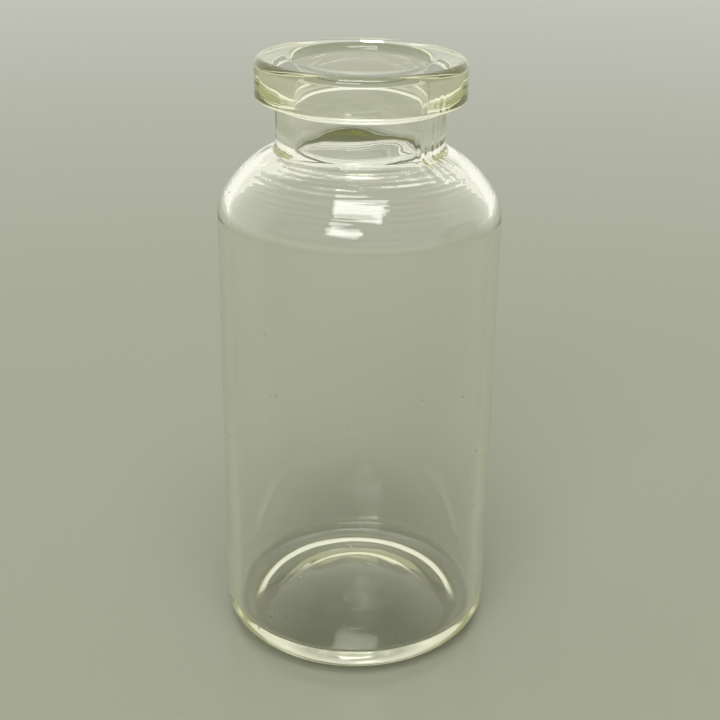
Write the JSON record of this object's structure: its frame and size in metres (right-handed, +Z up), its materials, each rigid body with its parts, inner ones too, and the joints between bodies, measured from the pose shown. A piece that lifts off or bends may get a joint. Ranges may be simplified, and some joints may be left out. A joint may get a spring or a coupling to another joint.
{
  "type": "glass sample vial",
  "caption": "Clear glass vial of formed tube: straight body, domed shoulder, short neck and a wide flange for a stopper and a crimped cap.",
  "frame": {"origin": "middle of the foot, on the surface that the vial stands on", "axes": "+Z up along the vial's axis, out of its mouth; the vial is the same all round, so X and Y are free"},
  "size_m": [0.0274, 0.0274, 0.0595],
  "materials": {
    "clear_glass": "clear, fire-polished, with a faint yellow-green tint where it is thick"
  },
  "bodies": {
    "root": {"vial": "clear_glass"}
  },
  "joints": []
}
